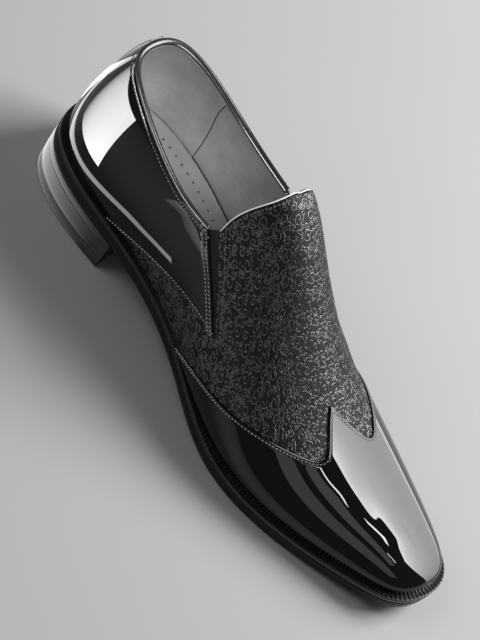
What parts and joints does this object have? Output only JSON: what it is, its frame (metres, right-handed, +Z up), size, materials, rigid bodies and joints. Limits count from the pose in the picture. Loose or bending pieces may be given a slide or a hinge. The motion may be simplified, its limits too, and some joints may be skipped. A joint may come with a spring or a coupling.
{
  "type": "patent leather slip-on shoe",
  "caption": "Slip-on dress shoe with a patent wing cap and quarters, brocade vamp and high tongue, elastic side gores, a wide welt and a low stacked heel.",
  "frame": {"origin": "centre of the shoe's box at floor level", "axes": "+X to the toe, +Y to the inner side of the foot, +Z up"},
  "size_m": [0.308, 0.0982, 0.1157],
  "materials": {
    "sole_leather": "black edge dressing, satin",
    "heel_leather": "dark grey stacked leather, semi-gloss",
    "rubber": "matt black",
    "welt_leather": "black, satin, ribbed on top",
    "insole_leather": "light grey lining leather, soft sheen",
    "patent_leather": "black patent, mirror gloss",
    "brocade": "dark grey brocade with raised scrolls, silky",
    "elastic": "black ribbed elastic, matt"
  },
  "bodies": {
    "root": {"outsole": "sole_leather", "heel_stack": "heel_leather", "heel_top_lift": "rubber", "welt": "welt_leather", "insole": "insole_leather", "upper": "brocade", "wing_cap": "patent_leather", "quarter_lateral": "patent_leather", "quarter_medial": "patent_leather", "back_strip": "patent_leather", "gore_lateral": "elastic", "gore_medial": "elastic"}
  },
  "joints": []
}
